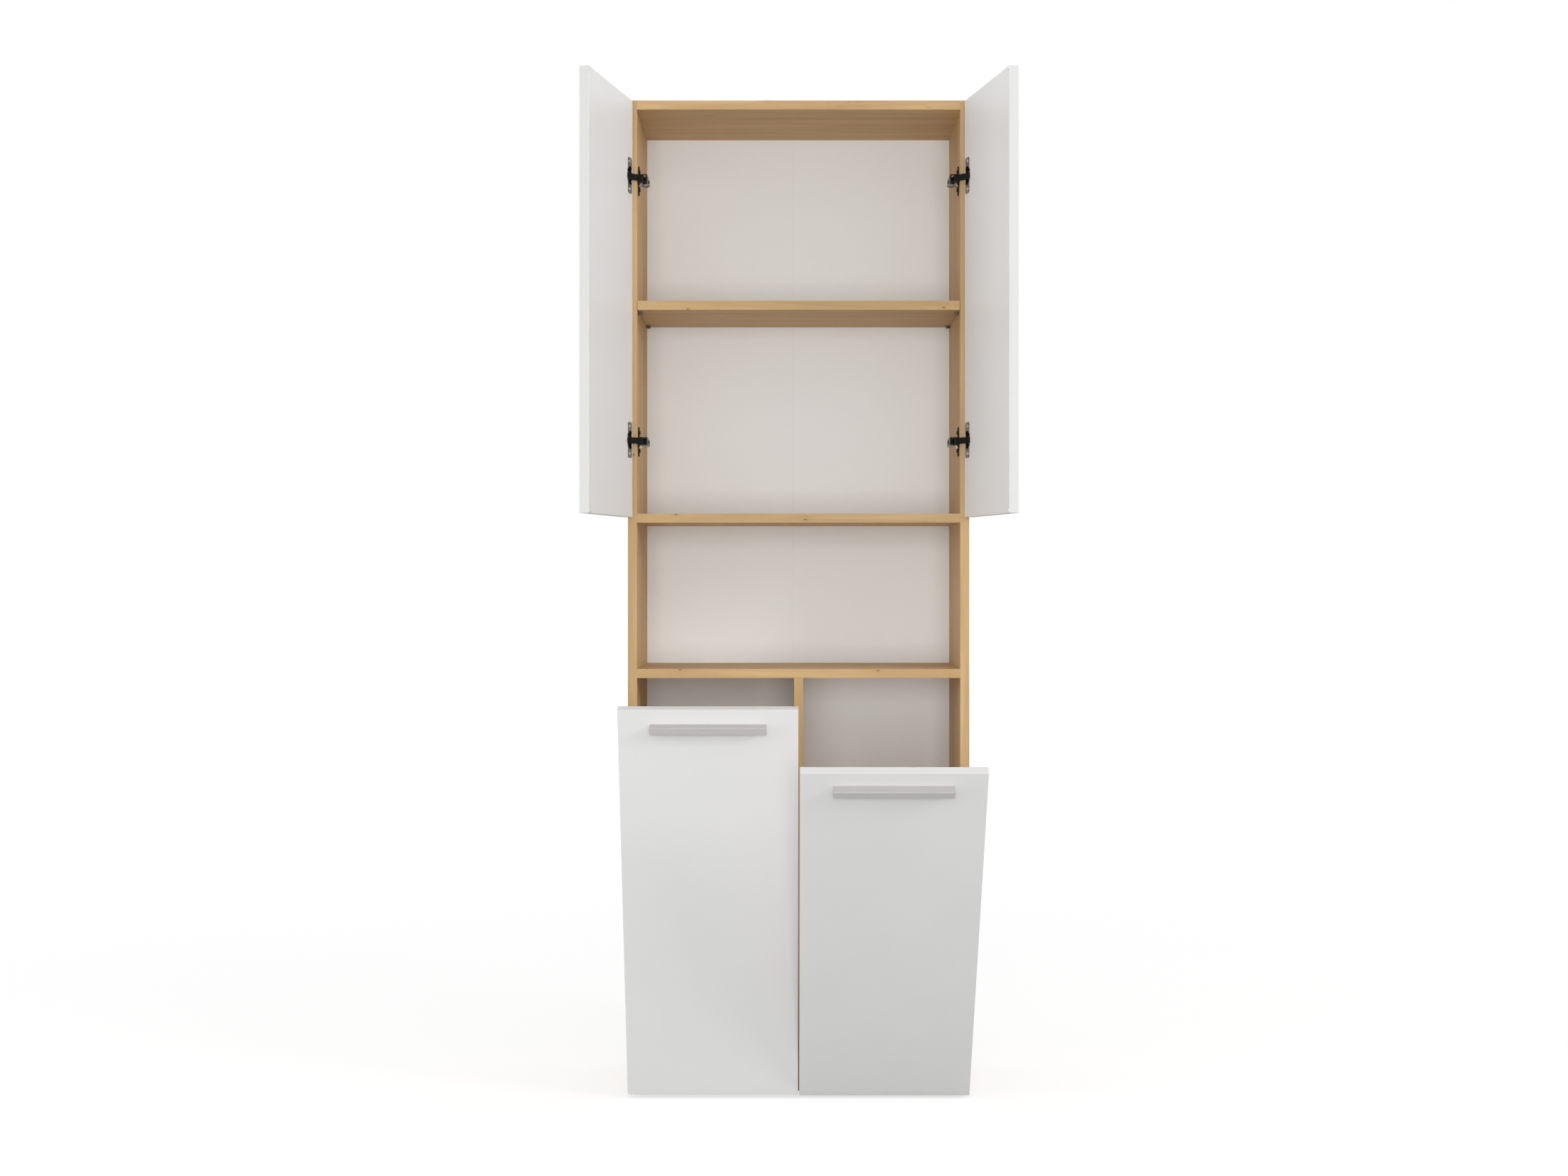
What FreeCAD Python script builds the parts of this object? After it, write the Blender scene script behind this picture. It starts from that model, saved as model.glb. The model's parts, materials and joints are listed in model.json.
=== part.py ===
# Tall bathroom cabinet: an oak-faced carcase with two white doors on concealed hinges,
# an open niche, and two tilt-out laundry flaps with bar handles.
# Millimetres. X to the right, Y to the back, Z up. The origin lies on the floor under the
# middle of the carcase. The doors and flaps stand at the angles that the photograph shows.
import FreeCAD, Part
import math
import os

Vector = FreeCAD.Vector
X_AXIS = Vector(1, 0, 0)
Y_AXIS = Vector(0, 1, 0)
Z_AXIS = Vector(0, 0, 1)

# Carcase
CABINET_WIDTH = 600.0
CABINET_DEPTH = 300.0
PANEL_HEIGHT = 1740.0
BOARD = 16.0
BOARD_EDGE_ROUND = 0.4
LOOSE_SHELF_HEIGHT = 1390.0
DOOR_SHELF_HEIGHT = 1016.0
NICHE_FLOOR_HEIGHT = 743.0
LOOSE_SHELF_SIDE_GAP = 0.8
LOOSE_SHELF_REAR_GAP = 2.0

# Back panels, two sheets that meet at one upright joint
BACK_THICKNESS = 3.0
BACK_JOINT_X = -10.0
BACK_INSET = 1.0
NAIL_HEAD_RADIUS = 2.2
NAIL_HEAD_HEIGHT = 0.8
NAIL_RADIUS = 0.8
NAIL_LENGTH = 16.0
NAILS_PER_SIDE = 11
NAILS_PER_BOARD = 4
NAIL_END_INSET = 45.0

# Feet
GLIDE_HEIGHT = 10.0
GLIDE_RADIUS = 7.5
GLIDE_INSET = 30.0
GLIDE_NAIL_RADIUS = 1.2
GLIDE_NAIL_LENGTH = 14.0
GLIDE_NAIL_ROOT = 4.0

# Fronts: two doors above, two flaps below
FRONT_THICKNESS = 16.0
FRONT_EDGE_ROUND = 0.8
FRONT_GAP = 1.5
EDGE_REVEAL = 1.0
TOP_REVEAL = 1.5
MEETING_GAP = 2.0
DOOR_OVERLAY = 6.5
FLAP_OVERLAY = 7.0
DOOR_REST_ANGLE = 100.0
DOOR_OPEN_ANGLE = 105.0
LEFT_FLAP_REST_ANGLE = 20.0
RIGHT_FLAP_REST_ANGLE = 35.0
FLAP_OPEN_ANGLE = 40.0
BUMPER_RADIUS = 3.0
BUMPER_HEIGHT = 1.3
BUMPER_INSET = 3.8

# Concealed hinge. U runs from the carried panel into the cabinet, V to the back,
# S along the hinge line. The hinge line lies inside the front, near its edge.
AXIS_EDGE = 3.0
AXIS_DEPTH = 4.1
DOOR_HINGE_INSET = 134.5
FLAP_HINGE_INSET = 65.0
CUP_RADIUS = 17.5
CUP_DEPTH = 12.5
CUP_WALL = 1.2
CUP_EDGE = 22.0
FLANGE_LENGTH = 62.0
FLANGE_WIDTH = 25.0
FLANGE_THICKNESS = 1.2
FLANGE_CORNER = 5.0
CUP_SCREW_SPACING = 48.0
CUP_SCREW_OFFSET = 6.0
CUP_SCREW_LENGTH = 12.0
PIN_EDGE = 20.5
PIN_DEPTH = 5.75
PIN_RADIUS = 1.5
LUG_INNER = 5.6
LUG_OUTER = 7.6
LUG_RADIUS = 4.0
LINK_LENGTH = 38.0
LINK_LEAN_ANGLE = 4.7
LINK_TURN_RATIO = 0.375
LINK_HALF_WIDTH = 5.3
LINK_HALF_THICKNESS = 1.5
LINK_EYE_RADIUS = 3.4
LINK_TAIL_RADIUS = 3.0
STUD_RADIUS = 1.75
ARM_FRONT = 1.0
ARM_REAR = 60.0
ARM_TOP = 17.5
ARM_SHEET = 1.0
ARM_HALF_WIDTH = 6.6
COVER_FRONT = 34.0
COVER_BOTTOM = 9.0
COVER_HALF_WIDTH = 8.0
SLOT_STEP_ANGLE = 7.5
PLATE_THICKNESS = 2.2
PLATE_FRONT = 30.0
PLATE_HALF_WIDTH = 8.5
WING_CENTRE = 37.0
WING_LENGTH = 52.0
WING_RADIUS = 6.0
BOSS_FRONT = 36.0
BOSS_REAR = 57.0
PLATE_SCREW_SPACING = 32.0
PLATE_SCREW_LENGTH = 12.0
ARM_SCREW_CENTRE = 48.0
ARM_SCREW_LENGTH = 10.0
BUTTON_RADIUS = 1.8
BUTTON_HEIGHT = 2.0
BUTTON_CENTRE = 56.0
BUTTON_OFFSET = 5.0
TAB_FRONT = 18.0
TAB_DEPTH = 6.0
TAB_LOW = 4.5
TAB_WIDTH = 4.0
TAB_LENGTH = 5.5
TAB_SHEET = 1.0
TAB_LEAN_ANGLE = 30.0

# Bar handle of a flap, hollow and open underneath for the fingers
HANDLE_LENGTH = 192.0
HANDLE_HEIGHT = 12.5
HANDLE_REACH = 17.0
HANDLE_WALL = 2.6
HANDLE_DROP = 25.5
HANDLE_ROUND = 1.0
HANDLE_SCREW_SPACING = 128.0
HANDLE_POST_WIDTH = 9.0
HANDLE_SCREW_RADIUS = 2.0
HANDLE_SCREW_GRIP = 10.0

# Slotted stay that limits a flap
STAY_RADIUS = 230.0
STAY_WIDTH = 18.0
STAY_SHEET = 2.0
STAY_PANEL_GAP = 5.0
STAY_STUD_ANGLE = 8.0
STAY_STUD_RADIUS = 3.0
STAY_STUD_COLLAR = 6.5
STAY_STUD_HEAD = 2.5
STAY_STUD_ROOT_RADIUS = 2.2
STAY_STUD_ROOT = 12.0
STAY_FOOT_WIDTH = 20.0
STAY_FOOT_HEIGHT = 34.0
STAY_SCREW_SPACING = 20.0
STAY_SCREW_INSET = 12.0
STAY_SCREW_LENGTH = 11.0

# Loose shelf's pins
SHELF_PIN_RADIUS = 2.5
SHELF_PIN_ROOT = 9.0
SHELF_PIN_REACH = 8.0
SHELF_PIN_HEIGHT = 5.0
SHELF_PIN_WIDTH = 9.0
SHELF_PIN_FRONT = 34.0
SHELF_PIN_REAR = 32.0

# Dowels and cam fittings of the carcase corners
DOWEL_RADIUS = 4.0
DOWEL_IN_SIDE = 11.0
DOWEL_IN_BOARD = 19.0
DOWEL_FRONT = 60.0
DOWEL_REAR = 92.0
CAM_RADIUS = 7.5
CAM_DEPTH = 12.5
CAM_SETBACK = 34.0
CAM_FRONT = 92.0
CAM_REAR = 60.0
CAM_CROSS_LENGTH = 9.0
CAM_CROSS_WIDTH = 1.4
CAM_CROSS_DEPTH = 2.0
CAM_BOLT_RADIUS = 3.0
CAM_BOLT_ROOT_RADIUS = 2.5
CAM_BOLT_ROOT = 11.0

# Brackets that hold the cabinet to a wall
BRACKET_SPACING = 400.0
BRACKET_WIDTH = 30.0
BRACKET_FOOT = 32.0
BRACKET_HEIGHT = 28.0
BRACKET_SHEET = 2.0
BRACKET_HOLE_RADIUS = 2.75
BRACKET_HOLE_HEIGHT = 17.0
BRACKET_SCREW_SETBACK = 20.0
BRACKET_SCREW_SPACING = 16.0
BRACKET_SCREW_LENGTH = 13.0

# Wood screws
SCREW_RADIUS = 1.75
SCREW_HEAD_RADIUS = 3.3
SCREW_HEAD_HEIGHT = 1.6
RECESS_WIDTH = 0.9
RECESS_LENGTH = 3.6
RECESS_DEPTH = 0.9

# Clearances
BORE_CLEARANCE = 0.05
HOLE_END_CLEARANCE = 0.5
RUNNING_CLEARANCE = 0.06
SLOT_CLEARANCE = 0.35
STAY_CLEARANCE = 0.25
SAME_PLACE = 1e-6

# Planes and spans worked out from the dimensions above
FRONT_Y = -CABINET_DEPTH / 2
REAR_Y = CABINET_DEPTH / 2
BOARD_REAR_Y = REAR_Y - BACK_THICKNESS
OUTER_X = CABINET_WIDTH / 2
INNER_X = OUTER_X - BOARD
BASE_Z = GLIDE_HEIGHT
CABINET_TOP_Z = BASE_Z + PANEL_HEIGHT
FRONT_WIDTH = OUTER_X - EDGE_REVEAL - MEETING_GAP / 2
DOOR_LOW_Z = DOOR_SHELF_HEIGHT + BOARD / 2 - DOOR_OVERLAY
DOOR_HIGH_Z = CABINET_TOP_Z - TOP_REVEAL
FLAP_LOW_Z = BASE_Z + EDGE_REVEAL
FLAP_HIGH_Z = NICHE_FLOOR_HEIGHT - BOARD / 2 + FLAP_OVERLAY
DOOR_HEIGHT = DOOR_HIGH_Z - DOOR_LOW_Z
FLAP_HEIGHT = FLAP_HIGH_Z - FLAP_LOW_Z

# The closed front and the hinge line, in the hinge's own U and V
EDGE_U = EDGE_REVEAL - BOARD
FACE_V = -FRONT_GAP
OUTSIDE_V = FACE_V - FRONT_THICKNESS
AXIS_U = EDGE_U + AXIS_EDGE
AXIS_V = FACE_V - AXIS_DEPTH
CUP_U = EDGE_U + CUP_EDGE
PIN_U = EDGE_U + PIN_EDGE
PIN_V = FACE_V - PIN_DEPTH
AXIS_POINT = Vector(AXIS_U, AXIS_V, 0)


# Simple solids
def box(x, y, z):
    """A box between pairs of limits along X, Y and Z."""
    return Part.makeBox(x[1] - x[0], y[1] - y[0], z[1] - z[0], Vector(x[0], y[0], z[0]))


def rod(radius, start, direction, length):
    """A round bar from a point along a direction."""
    return Part.makeCylinder(radius, length, start, direction)


def bore(radius, start, direction, length):
    """The hole that a round bar of this radius and length goes into."""
    back = start - direction * HOLE_END_CLEARANCE
    return rod(radius + BORE_CLEARANCE, back, direction, length + 2 * HOLE_END_CLEARANCE)


def joined(first, *others):
    """One solid from touching or crossing pieces."""
    return first.fuse(list(others)).removeSplitter()


def rounded_along(shape, radius, direction, test):
    """Round the edges along a direction whose middle passes a test."""
    edges = []
    for edge in shape.Edges:
        along = edge.Vertexes[1].Point - edge.Vertexes[0].Point
        if along.cross(direction).Length < SAME_PLACE and test(edge.CenterOfMass):
            edges.append(edge)
    return shape.makeFillet(radius, edges)


def screw(seat, direction, shank_radius, length):
    """A screw with a cross-recessed head on its seat and a shank along a direction."""
    head = rod(SCREW_HEAD_RADIUS, seat - direction * SCREW_HEAD_HEIGHT, direction, SCREW_HEAD_HEIGHT)
    body = joined(head, rod(shank_radius, seat, direction, length))
    across = direction.cross(X_AXIS if abs(direction.x) < 0.5 else Y_AXIS)
    other = direction.cross(across)
    crown = seat - direction * (SCREW_HEAD_HEIGHT - RECESS_DEPTH / 2)
    cuts = [bar(crown, one, direction, RECESS_LENGTH, RECESS_WIDTH, RECESS_DEPTH)
            for one in (across, other)]
    return body.cut(cuts)


def bar(centre, along, up, length, width, depth):
    """A small straight bar centred on a point, for the arms of a cross recess."""
    frame = placement(centre, along, up)
    shape = box((-length / 2, length / 2), (-depth / 2, depth / 2), (-width / 2, width / 2))
    return put(shape, frame)


# Placing pieces
def placement(origin, u_axis, v_axis):
    """The place of a local frame with its U, V and S along given directions."""
    s_axis = u_axis.cross(v_axis)
    rows = []
    for u, v, s, o in zip(u_axis, v_axis, s_axis, origin):
        rows += [u, v, s, o]
    return FreeCAD.Placement(FreeCAD.Matrix(*rows, 0, 0, 0, 1))


def put(shape, frame):
    """A copy of a locally drawn shape in its frame."""
    copy = shape.copy()
    copy.Placement = frame.multiply(copy.Placement)
    return copy


def shifted(shape, offset):
    """A copy of a shape moved along S."""
    copy = shape.copy()
    copy.translate(Vector(0, 0, offset))
    return copy


def opened(shape, angle):
    """A copy of a closed front's piece, swung open about the hinge line."""
    copy = shape.copy()
    copy.rotate(AXIS_POINT, Z_AXIS, -angle)
    return copy


# Motion of the hinge link: its eye turns on the cup's pin and its tail runs in the arm's slot
def pin_at(angle):
    """Where the cup's pin stands with the front open by an angle."""
    turn = math.radians(angle)
    du = PIN_U - AXIS_U
    dv = PIN_V - AXIS_V
    u = AXIS_U + du * math.cos(turn) + dv * math.sin(turn)
    v = AXIS_V - du * math.sin(turn) + dv * math.cos(turn)
    return Vector(u, v, 0)


def link_lean(angle):
    """How far the link leans from V towards U, in degrees."""
    return LINK_LEAN_ANGLE + LINK_TURN_RATIO * angle


def tail_at(angle):
    """Where the link's tail stud stands with the front open by an angle."""
    lean = math.radians(link_lean(angle))
    return pin_at(angle) + Vector(math.sin(lean), math.cos(lean), 0) * LINK_LENGTH


# Pieces of one hinge, drawn at S = 0 with the front closed
def hinge_cup():
    """Pressed cup with its flange and the two lugs that hold the pin."""
    centre = Vector(CUP_U, FACE_V, 0)
    half_length = FLANGE_LENGTH / 2
    half_width = FLANGE_WIDTH / 2
    flange = box((CUP_U - half_width, CUP_U + half_width), (FACE_V, FACE_V + FLANGE_THICKNESS),
                 (-half_length, half_length))
    flange = rounded_along(flange, FLANGE_CORNER, Y_AXIS, lambda middle: True)
    shell = joined(flange, rod(CUP_RADIUS, centre, -Y_AXIS, CUP_DEPTH))
    hollow = rod(CUP_RADIUS - CUP_WALL, centre + Y_AXIS * FLANGE_THICKNESS, -Y_AXIS,
                 CUP_DEPTH + FLANGE_THICKNESS - CUP_WALL)
    shell = shell.cut(hollow)
    floor_v = FACE_V - CUP_DEPTH + CUP_WALL
    for low in (LUG_INNER, -LUG_OUTER):
        span = (low, low + LUG_OUTER - LUG_INNER)
        post = box((PIN_U - LUG_RADIUS, PIN_U + LUG_RADIUS), (floor_v, PIN_V), span)
        crown = rod(LUG_RADIUS, Vector(PIN_U, PIN_V, span[0]), Z_AXIS, span[1] - span[0])
        shell = joined(shell, post, crown)
    pin_hole = bore(PIN_RADIUS, Vector(PIN_U, PIN_V, -LUG_OUTER), Z_AXIS, 2 * LUG_OUTER)
    return shell.cut([pin_hole] + [screw_bore(seat, CUP_SCREW_LENGTH) for seat in cup_screw_seats()])


def cup_screw_seats():
    """Where the two flange screws sit."""
    half = CUP_SCREW_SPACING / 2
    return [Vector(CUP_U + CUP_SCREW_OFFSET, FACE_V + FLANGE_THICKNESS, s) for s in (-half, half)]


def screw_bore(seat, length):
    """The hole of a wood screw that runs into a front or board along -Y."""
    return bore(SCREW_RADIUS, seat, -Y_AXIS, length)


def hinge_pin():
    """Pin through the cup's lugs and the link's eye."""
    return rod(PIN_RADIUS, Vector(PIN_U, PIN_V, -LUG_OUTER), Z_AXIS, 2 * LUG_OUTER)


def hinge_link(angle):
    """Link from the cup's pin to the arm's slot, with the front open by an angle."""
    tail = Vector(0, LINK_LENGTH, 0)
    low = Vector(0, 0, -LINK_HALF_WIDTH)
    strap = box((-LINK_HALF_THICKNESS, LINK_HALF_THICKNESS), (0, LINK_LENGTH),
                (-LINK_HALF_WIDTH, LINK_HALF_WIDTH))
    eye = rod(LINK_EYE_RADIUS, low, Z_AXIS, 2 * LINK_HALF_WIDTH)
    knuckle = rod(LINK_TAIL_RADIUS, tail + low, Z_AXIS, 2 * LINK_HALF_WIDTH)
    stud = rod(STUD_RADIUS, tail - Z_AXIS * ARM_HALF_WIDTH, Z_AXIS, 2 * ARM_HALF_WIDTH)
    link = joined(strap, eye, knuckle, stud)
    link = link.cut(rod(PIN_RADIUS + RUNNING_CLEARANCE, 2 * low, Z_AXIS, 4 * LINK_HALF_WIDTH))
    link.rotate(Vector(0, 0, 0), Z_AXIS, -link_lean(angle))
    link.translate(pin_at(angle))
    return link


def hinge_arm(down):
    """Channel-shaped arm with a curved slot in each wall, a cover and a button at the rear."""
    inside = ARM_HALF_WIDTH - ARM_SHEET
    web = ARM_TOP - ARM_SHEET
    channel = box((PLATE_THICKNESS, ARM_TOP), (ARM_FRONT, ARM_REAR), (-ARM_HALF_WIDTH, ARM_HALF_WIDTH))
    cover = box((COVER_BOTTOM, ARM_TOP), (COVER_FRONT, ARM_REAR), (-COVER_HALF_WIDTH, COVER_HALF_WIDTH))
    arm = joined(channel, cover)
    arm = rounded_along(arm, ARM_SHEET, Y_AXIS, lambda middle: middle.x > web)
    button_root = Vector(web, BUTTON_CENTRE, down * BUTTON_OFFSET)
    arm = joined(arm, rod(BUTTON_RADIUS, button_root, X_AXIS, ARM_SHEET + BUTTON_HEIGHT))
    hollow = box((0, web), (0, 2 * ARM_REAR), (-inside, inside))
    steps = int(DOOR_OPEN_ANGLE / SLOT_STEP_ANGLE)
    angles = [DOOR_OPEN_ANGLE * step / steps for step in range(steps + 1)]
    path = Part.makePolygon([tail_at(angle) for angle in angles])
    outline = path.makeOffset2D(STUD_RADIUS + SLOT_CLEARANCE)
    slot = Part.Face(outline).extrude(Z_AXIS * 4 * ARM_HALF_WIDTH)
    slot.translate(-Z_AXIS * 2 * ARM_HALF_WIDTH)
    walls_only = box((0, web), (0, COVER_FRONT), (-2 * ARM_HALF_WIDTH, 2 * ARM_HALF_WIDTH))
    screw_hole = bore(SCREW_RADIUS, arm_screw_seat(), -X_AXIS, ARM_SCREW_LENGTH)
    return arm.cut([hollow, slot.common(walls_only), screw_hole])


def release_tab(down):
    """Bent steel leaf on the arm's wall, which lets the arm off its plate."""
    wall = ARM_HALF_WIDTH
    span = (TAB_LOW, TAB_LOW + TAB_WIDTH)
    foot = box(span, (TAB_FRONT, TAB_FRONT + TAB_DEPTH), (wall, wall + TAB_SHEET))
    leaf = box(span, (TAB_FRONT, TAB_FRONT + TAB_SHEET), (wall, wall + TAB_LENGTH))
    leaf.rotate(Vector(TAB_LOW, TAB_FRONT, wall + TAB_SHEET), Y_AXIS, -TAB_LEAN_ANGLE)
    beyond = box((-ARM_TOP, 2 * ARM_TOP), (0, ARM_REAR), (wall, wall + 2 * TAB_LENGTH))
    tab = joined(foot, leaf.common(beyond))
    if down < 0:
        tab = tab.mirror(Vector(0, 0, 0), Z_AXIS)
    return tab


def arm_screw_seat():
    """Where the screw sits that holds the arm to its plate."""
    return Vector(ARM_TOP, ARM_SCREW_CENTRE, 0)


def mounting_plate():
    """Cross-shaped plate on the panel, with the boss that carries the arm."""
    half_wing = WING_LENGTH / 2
    base = box((0, PLATE_THICKNESS), (PLATE_FRONT, ARM_REAR), (-PLATE_HALF_WIDTH, PLATE_HALF_WIDTH))
    wings = box((0, PLATE_THICKNESS), (WING_CENTRE - WING_RADIUS, WING_CENTRE + WING_RADIUS),
                (WING_RADIUS - half_wing, half_wing - WING_RADIUS))
    ends = [rod(WING_RADIUS, Vector(0, WING_CENTRE, s), X_AXIS, PLATE_THICKNESS)
            for s in (WING_RADIUS - half_wing, half_wing - WING_RADIUS)]
    boss_half = ARM_HALF_WIDTH - ARM_SHEET - BORE_CLEARANCE
    boss = box((0, ARM_TOP - ARM_SHEET), (BOSS_FRONT, BOSS_REAR), (-boss_half, boss_half))
    plate = joined(base, wings, boss, *ends)
    holes = [bore(SCREW_RADIUS, seat, -X_AXIS, PLATE_SCREW_LENGTH) for seat in plate_screw_seats()]
    holes.append(bore(SCREW_RADIUS, arm_screw_seat(), -X_AXIS, ARM_SCREW_LENGTH))
    return plate.cut(holes)


def plate_screw_seats():
    """Where the two wing screws sit."""
    half = PLATE_SCREW_SPACING / 2
    return [Vector(PLATE_THICKNESS, WING_CENTRE, s) for s in (-half, half)]


# Pieces of one front, drawn closed
def front_board(front, extra_holes):
    """White front with rounded edges, cup recesses and screw holes."""
    half = front.length_s / 2
    board = box((EDGE_U, EDGE_U + front.height_u), (OUTSIDE_V, FACE_V), (-half, half))
    board = board.makeFillet(FRONT_EDGE_ROUND, board.Edges)
    holes = list(extra_holes)
    for place in front.hinge_places:
        face = Vector(CUP_U, FACE_V, place)
        holes.append(bore(CUP_RADIUS, face, -Y_AXIS, CUP_DEPTH))
        holes += [shifted(screw_bore(seat, CUP_SCREW_LENGTH), place) for seat in cup_screw_seats()]
    return board.cut(holes)


def bumpers(front):
    """Clear buffers at the two free corners of a front's inner face."""
    free_u = EDGE_U + front.height_u - BUMPER_INSET
    corner = front.length_s / 2 - BUMPER_INSET
    return [rod(BUMPER_RADIUS, Vector(free_u, FACE_V, s), Y_AXIS, BUMPER_HEIGHT) for s in (-corner, corner)]


def handle():
    """Bar handle, hollow from below, with two posts for its screws."""
    top = EDGE_U + FLAP_HEIGHT - HANDLE_DROP
    half = HANDLE_LENGTH / 2
    body = box((top - HANDLE_HEIGHT, top), (OUTSIDE_V - HANDLE_REACH, OUTSIDE_V), (-half, half))
    body = rounded_along(body, HANDLE_ROUND, Z_AXIS, lambda middle: middle.y < OUTSIDE_V - HANDLE_REACH / 2)
    body = rounded_along(body, HANDLE_ROUND, X_AXIS, lambda middle: middle.y < OUTSIDE_V - HANDLE_REACH / 2)
    stops = [-half + HANDLE_WALL]
    for place in handle_screw_places():
        stops += [place - HANDLE_POST_WIDTH / 2, place + HANDLE_POST_WIDTH / 2]
    stops.append(half - HANDLE_WALL)
    pockets = []
    for low, high in zip(stops[0::2], stops[1::2]):
        pockets.append(box((top - 2 * HANDLE_HEIGHT, top - HANDLE_WALL),
                           (OUTSIDE_V - HANDLE_REACH + HANDLE_WALL, OUTSIDE_V), (low, high)))
    return body.cut(pockets + handle_screw_holes())


def handle_screw_places():
    """S of the two handle screws."""
    return (-HANDLE_SCREW_SPACING / 2, HANDLE_SCREW_SPACING / 2)


def handle_screw_seats():
    """Seats of the handle screws on the flap's inner face."""
    u = EDGE_U + FLAP_HEIGHT - HANDLE_DROP - HANDLE_HEIGHT / 2
    return [Vector(u, FACE_V, s) for s in handle_screw_places()]


def handle_screw_holes():
    """Holes through the flap and into the handle's posts."""
    length = FRONT_THICKNESS + HANDLE_SCREW_GRIP
    return [bore(HANDLE_SCREW_RADIUS, seat, -Y_AXIS, length) for seat in handle_screw_seats()]


def stay_span(side):
    """The stay's limits along S, beside the outer panel on one side of its flap."""
    near = flap_panel_s() - STAY_PANEL_GAP
    return sorted((side * near, side * (near - STAY_SHEET)))


def flap_panel_s():
    """Distance along S from the middle of a flap to the inner face of its side panel."""
    return INNER_X - flap_middle_x()


def flap_middle_x():
    """Distance of a flap's middle from the middle of the cabinet."""
    return MEETING_GAP / 2 + FRONT_WIDTH / 2


def stay_point(angle):
    """A point on the stay's middle arc, at an angle behind the closed flap's plane."""
    turn = math.radians(angle)
    return AXIS_POINT + Vector(math.cos(turn), math.sin(turn), 0) * STAY_RADIUS


def stay_arm(side):
    """Curved strip with a slot along its arc and a bent foot on the flap."""
    low, high = stay_span(side)
    start = math.degrees(math.asin((AXIS_DEPTH + STAY_SHEET / 2) / STAY_RADIUS))
    end = STAY_STUD_ANGLE + FLAP_OPEN_ANGLE + math.degrees(STAY_WIDTH / 2 / STAY_RADIUS)
    outer = Part.makeCylinder(STAY_RADIUS + STAY_WIDTH / 2, STAY_SHEET, AXIS_POINT, Z_AXIS, end - start)
    inner = Part.makeCylinder(STAY_RADIUS - STAY_WIDTH / 2, STAY_SHEET, AXIS_POINT, Z_AXIS)
    band = outer.cut(inner)
    band.rotate(AXIS_POINT, Z_AXIS, start)
    nose = rod(STAY_WIDTH / 2, stay_point(end), Z_AXIS, STAY_SHEET)
    strip = joined(band, nose)
    strip.translate(Vector(0, 0, low))
    foot_s = (high - STAY_FOOT_WIDTH, high) if side > 0 else (low, low + STAY_FOOT_WIDTH)
    middle_u = stay_point(0).x
    foot = box((middle_u - STAY_FOOT_HEIGHT / 2, middle_u + STAY_FOOT_HEIGHT / 2),
               (FACE_V, FACE_V + STAY_SHEET), foot_s)
    ends = [stay_point(STAY_STUD_ANGLE + extra) for extra in (0, FLAP_OPEN_ANGLE / 2, FLAP_OPEN_ANGLE)]
    path = Part.Wire([Part.Arc(*ends).toShape()])
    outline = path.makeOffset2D(STAY_STUD_RADIUS + STAY_CLEARANCE)
    slot = Part.Face(outline).extrude(Z_AXIS * 4 * STAY_SHEET)
    slot.translate(Vector(0, 0, low - STAY_SHEET))
    return joined(strip, foot).cut([slot] + stay_screw_holes(side))


def stay_screw_seats(side):
    """Seats of the screws in the stay's foot."""
    low, high = stay_span(side)
    s = high - STAY_SCREW_INSET if side > 0 else low + STAY_SCREW_INSET
    middle_u = stay_point(0).x
    half = STAY_SCREW_SPACING / 2
    return [Vector(middle_u + u, FACE_V + STAY_SHEET, s) for u in (-half, half)]


def stay_screw_holes(side):
    """Holes of the foot's screws."""
    return [screw_bore(seat, STAY_SCREW_LENGTH) for seat in stay_screw_seats(side)]


def stay_stud(side):
    """Shouldered stud on the side panel, whose shank runs in the stay's slot."""
    panel = flap_panel_s()
    foot = stay_point(STAY_STUD_ANGLE)
    inward = Z_AXIS * -side
    collar = STAY_PANEL_GAP - STAY_CLEARANCE
    grip = STAY_PANEL_GAP + STAY_SHEET + STAY_CLEARANCE
    seat = foot + Z_AXIS * side * panel
    return joined(rod(STAY_STUD_COLLAR, seat, inward, collar),
                  rod(STAY_STUD_RADIUS, seat, inward, grip),
                  rod(STAY_STUD_COLLAR, seat + inward * grip, inward, STAY_STUD_HEAD),
                  rod(STAY_STUD_ROOT_RADIUS, seat, -inward, STAY_STUD_ROOT))


def stay_stud_hole(side):
    """The stud's hole in the side panel."""
    seat = stay_point(STAY_STUD_ANGLE) + Z_AXIS * side * flap_panel_s()
    return bore(STAY_STUD_ROOT_RADIUS, seat, Z_AXIS * side, STAY_STUD_ROOT)


# The four fronts and where their hinges stand
class Front:
    """One door or flap: its frame, its size across and along the hinge line, its hinges."""

    def __init__(self, name, origin, u_axis, height_u, length_s, hinge_inset, rest, side, down):
        self.name = name
        self.frame = placement(origin, u_axis, Y_AXIS)
        self.height_u = height_u
        self.length_s = length_s
        self.hinge_places = (hinge_inset - length_s / 2, length_s / 2 - hinge_inset)
        self.rest = rest
        self.side = side
        self.down = down

    def at_hinges(self, shape):
        """Copies of a fixed hinge piece at each hinge of this front."""
        return [put(shifted(shape, place), self.frame) for place in self.hinge_places]

    def swung(self, shape):
        """A piece of the front at the angle where it rests."""
        return put(opened(shape, self.rest), self.frame)

    def swung_at_hinges(self, shape):
        """Copies of a moving hinge piece at each hinge, at the rest angle."""
        return [self.swung(shifted(shape, place)) for place in self.hinge_places]


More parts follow.
